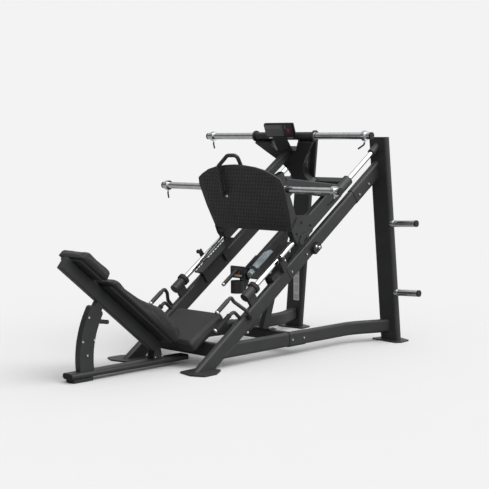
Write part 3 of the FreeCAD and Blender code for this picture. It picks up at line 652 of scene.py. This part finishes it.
# ---- grips, ferrules, bolts and hooks ----------------------------------------------------------
CATCH_FACE, WEB_FACE, HOOK_FACE = 0.401, 0.3832, 0.3836      # outer faces, from the middle
HOOK_T = 0.007
SPRING_X, SPRING_V = 0.352, -0.2095
CATCH_BOLTS = ((0.636, -0.145), (0.660, -0.170))
WEB_BOLTS = ((0.540, 0.048), (0.622, 0.085), (0.690, 0.010))
HOOK_OUTLINE = [(0.518, -0.036), (0.518, -0.008), (0.560, 0.012), (0.614, 0.004), (0.628, -0.020),
                (0.612, -0.050), (0.596, -0.050), (0.600, -0.028), (0.566, -0.026), (0.556, -0.050),
                (0.540, -0.050)]
GRIP = [(0.0126, 0), (0.0180, 0.0), (0.0188, 0.003), (0.0168, 0.008), (0.0166, 0.138), (0.0174, 0.144),
        (0.0174, 0.150), (0.0126, 0.152)]
HANDLE_FERRULE = [(0.0126, 0), (0.0172, 0.0), (0.0172, 0.009), (0.0150, 0.013), (0, 0.0136)]
LEVER_FERRULE = [(0.0, 0), (0.0162, 0.0), (0.0162, 0.009), (0.0140, 0.013), (0, 0.0136)]
CONSOLE_FERRULE = [(0, 0), (0.0148, 0), (0.0148, 0.010), (0.0125, 0.014), (0, 0.0145)]
WIPER = [(0.0192, 0), (0.0330, 0), (0.0340, 0.002), (0.0330, 0.009), (0.0250, 0.0125), (0.0192, 0.013),
         (0.0192, 0)]
SPRING_TUBE = [(0, 0), (0.0105, 0), (0.0115, 0.001), (0.0115, 0.118), (0.0095, 0.124), (0, 0.124)]
SPRING_NUT = [(0, 0), (0.0065, 0), (0.0075, 0.001), (0.0075, 0.004), (0.0130, 0.0045), (0.0130, 0.0135),
              (0, 0.0138)]


def catch_hook(side, sign):
    """Hooked plate on the outside of the sled's web."""
    outline = HOOK_OUTLINE if sign > 0 else HOOK_OUTLINE[::-1]
    start = at(sign * HOOK_FACE, 0, 0)
    made = bmesh.new()
    near = [made.verts.new(start + U * u + W * v) for u, v in outline]
    away = [made.verts.new(vert.co + X * sign * HOOK_T) for vert in near]
    made.faces.new(near)
    made.faces.new(away[::-1])
    for i in range(len(outline)):
        j = (i + 1) % len(outline)
        made.faces.new((near[i], away[i], away[j], near[j]))
    soften(made, 0.001)
    link("catch_hook_" + side, mesh_of(made), sled_paint, "sled")


for side, sign in SIDES:
    outward = X * sign
    lathe("handle_grip_" + side, at(sign * 0.3385, -0.285, -0.009), -U, GRIP, grip_rubber, "frame")
    lathe("handle_ferrule_" + side, at(sign * 0.3342, -0.4365, -0.008), -U, HANDLE_FERRULE,
          bolt_chrome, "frame")
    lathe("lever_ferrule_" + side, at(sign * 0.331, -0.3502, 0.078), -U, LEVER_FERRULE,
          bolt_chrome, side + "_lever")
    bolts("catch_bolts_" + side, [(at(sign * CATCH_FACE, u, v), outward) for u, v in CATCH_BOLTS], "frame")
    bolts("web_bolts_" + side, [(at(sign * WEB_FACE, u, v), outward) for u, v in WEB_BOLTS], "sled",
          black_plastic)
    catch_hook(side, sign)
    lathe("rod_wiper_" + side, at(sign * ROD_X, 0.505, 0), -U, WIPER, soft_rubber, "sled")
    lathe("lever_spring_tube_" + side, at(sign * SPRING_X, -0.222, SPRING_V), U, SPRING_TUBE,
          soft_rubber, "frame")
    lathe("lever_spring_nut_" + side, at(sign * SPRING_X, -0.236, SPRING_V), U, SPRING_NUT,
          bolt_chrome, "frame", 6)
lathe("console_ferrule", Vector((-0.010, 0.028, 0.5061)), Vector((0, -0.819, -0.573)), CONSOLE_FERRULE,
      bolt_chrome, "frame")
bolts("hoop_bolt", [(plate(-0.160, 0.262, 0.0005), T_OUT)], "sled", across=0.015, height=0.007)

# ---- panels ------------------------------------------------------------------------------------
P_UP = leaning(20)
P_OUT = X.cross(P_UP)
SHEET_T = 0.0012
top_middle = Vector((0, 0.628, 1.534)) + P_UP * 0.061 + P_OUT * 0.0101
top_face = painted_face("top_panel_face", (0.016, 0.0165, 0.018), top_middle, (X, P_UP), [
    (-0.134, 0.040, -0.036, 0.052, (0.105, 0.107, 0.112)),
    (-0.128, 0.020, 0.020, 0.046, (0.15, 0.152, 0.158)),
    (-0.080, 0.028, -0.018, 0.008, (0.10, 0.098, 0.088)),
    (0.062, 0.070, 0.020, 0.046, (0.20, 0.20, 0.21)),
    (0.074, 0.116, -0.020, 0.026, (0.14, 0.012, 0.030)),
    (0.086, 0.098, 0.000, 0.020, (0.30, 0.10, 0.13)),
    (-0.112, -0.044, -0.054, -0.044, (0.78, 0.80, 0.80)),
    (0.050, 0.124, -0.054, -0.046, (0.24, 0.29, 0.27))])
panel("top_panel_sheet", top_middle, X, P_UP, rounded(0.277, 0.114, 0.006), SHEET_T, top_face, "sled",
      0.0004)
low_middle = Vector((0, 0.1530, 0.581))
low_face = painted_face("console_face", (0.018, 0.018, 0.019), low_middle, (X, UP), [
    (-0.050, 0.042, 0.016, 0.032, (0.045, 0.045, 0.048)),
    (-0.046, 0.046, -0.030, -0.017, (0.55, 0.50, 0.42)),
    (0.004, 0.026, -0.012, 0.006, (0.30, 0.07, 0.02)),
    (-0.046, -0.010, -0.012, 0.002, (0.10, 0.10, 0.085))])
panel("console_sheet", low_middle, X, UP, rounded(0.129, 0.078, 0.006), SHEET_T, low_face, "frame",
      0.0004)
strip_middle = Vector((-0.4435, 1.3055, 0.3465))
strip_face = painted_face("scale_strip_face", (0.60, 0.60, 0.60), strip_middle, (X, UP), [
    (-0.026, 0.026, 0.085, 0.112, (0.42, 0.42, 0.43)),
    (-0.022, 0.022, 0.020, 0.072, (0.50, 0.50, 0.51)),
    (-0.022, 0.022, -0.050, 0.005, (0.50, 0.50, 0.51)),
    (-0.026, 0.026, -0.112, -0.070, (0.46, 0.46, 0.47))])
panel("upright_strip", strip_middle, X, UP, rounded(0.061, 0.245, 0.004), 0.0008, strip_face, "frame",
      0.0003)

# ---- floor, light and camera -------------------------------------------------------------------
PALE = 0.896
BACKDROP = (PALE, PALE, PALE * 1.002, 1)

floor_mat = new_material("pale_floor")
flat = add(floor_mat, "SeparateXYZ", {0: place(floor_mat)}).outputs
squares = [math_node(floor_mat, "POWER", flat[axis], 2.0) for axis in (0, 1)]
far = math_node(floor_mat, "SQRT", plus(floor_mat, *squares))
grain = noise(floor_mat, 3, 3)
matt = add(floor_mat, "BsdfDiffuse", {"Color": mix(floor_mat, grain, (0.665, 0.665, 0.665),
                                                   (0.675, 0.675, 0.675))})
glow = add(floor_mat, "Emission", {"Color": BACKDROP, "Strength": 1.0})
fade = add(floor_mat, "MapRange", {"Value": far, "From Min": 2.2, "From Max": 5.5},
           interpolation_type="SMOOTHSTEP")
blend = add(floor_mat, "MixShader", {0: fade.outputs[0], 1: matt.outputs[0], 2: glow.outputs[0]})
dim = add(floor_mat, "BsdfDiffuse", {"Color": (0.30, 0.30, 0.30, 1)})      # what reflections see
straight = add(floor_mat, "LightPath").outputs["Is Camera Ray"]
blend = add(floor_mat, "MixShader", {0: straight, 1: dim.outputs[0], 2: blend.outputs[0]})
add(floor_mat, "OutputMaterial", {"Surface": blend.outputs[0]})
made = bmesh.new()
bmesh.ops.create_grid(made, x_segments=24, y_segments=24, size=60)
floor = bpy.data.objects.new("pale_floor", mesh_of(made))
floor.data.materials.append(floor_mat)
floor.location.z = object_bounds()[0].z - 0.0005
scene.collection.objects.link(floor)

world = bpy.data.worlds.new("studio")
scene.world = world
world.use_nodes = True
world.node_tree.nodes.clear()
BRIGHT_SIDE = Vector((0.62, 0.30, 0.72)).normalized()
facing = along(world, add(world, "TexCoord").outputs["Generated"], BRIGHT_SIDE)
level = between(world, facing, -0.45, 0.95, 0.10, 1.35)
lit = add(world, "Background", {"Color": (1, 1, 1, 1), "Strength": level})
seen = add(world, "Background", {"Color": BACKDROP, "Strength": 1.0})
ray = add(world, "LightPath").outputs["Is Camera Ray"]
both = add(world, "MixShader", {0: ray, 1: lit.outputs[0], 2: seen.outputs[0]})
add(world, "OutputWorld", {"Surface": both.outputs[0]})


def sun(name, towards, power, spread):
    light = bpy.data.lights.new(name, "SUN")
    light.energy = power
    light.angle = math.radians(spread)
    lamp = bpy.data.objects.new(name, light)
    lamp.rotation_euler = Vector(towards).to_track_quat("Z", "Y").to_euler()
    scene.collection.objects.link(lamp)


sun("key", (2.6, 1.0, 4.6), 1.5, 50)

lens = bpy.data.cameras.new("camera")
lens.lens = 88.04
lens.sensor_width = 36
lens.clip_end = 200
camera = bpy.data.objects.new("camera", lens)
camera.location = (5.9260, -5.9833, 1.5302)
camera.rotation_euler = (math.radians(84.974), 0, math.radians(43.65))
scene.collection.objects.link(camera)
scene.camera = camera
scene.view_settings.view_transform = "Standard"
